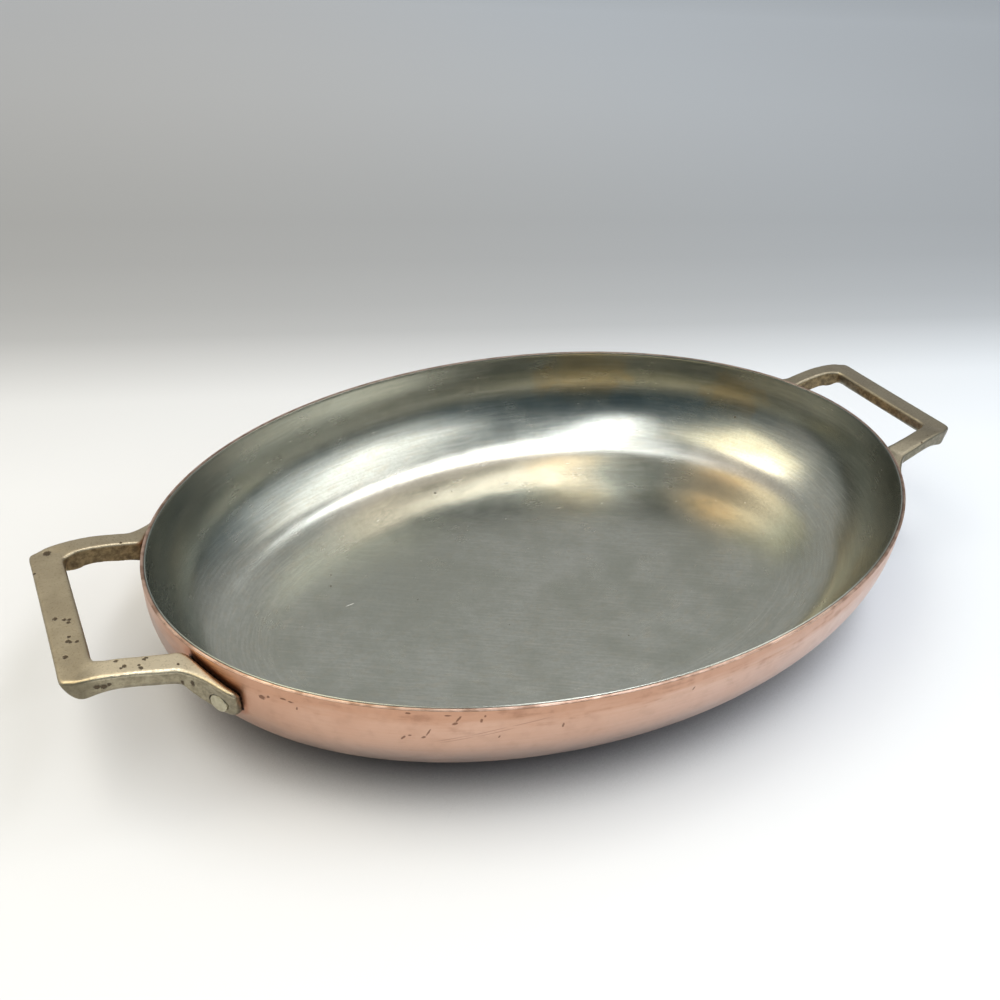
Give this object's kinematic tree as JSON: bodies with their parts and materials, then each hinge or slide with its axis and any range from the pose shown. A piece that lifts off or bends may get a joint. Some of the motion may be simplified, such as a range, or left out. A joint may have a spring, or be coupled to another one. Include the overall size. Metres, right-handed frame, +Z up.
{
  "type": "oval gratin pan",
  "caption": "Shallow oval gratin pan: a rounded copper body with a grey metal lining and a squared cast handle riveted at each end.",
  "frame": {"origin": "centre of the flat underside", "axes": "+X along the long axis toward the right handle, +Y toward the back long side, +Z up out of the pan"},
  "size_m": [0.4192, 0.24, 0.0589],
  "materials": {
    "copper": "satin, lightly stained copper",
    "lining": "satin grey with fine rubbing marks",
    "cast_brass": "dull cast brass, tops dressed smooth, inner sides rough",
    "rivet_brass": "dull, dressed nearly flush"
  },
  "bodies": {
    "root": {"copper_body": "copper", "inner_lining": "lining", "handle_right": "cast_brass", "handle_left": "cast_brass", "rivet_right_back": "rivet_brass", "rivet_right_front": "rivet_brass", "rivet_left_front": "rivet_brass", "rivet_left_back": "rivet_brass"}
  },
  "joints": []
}
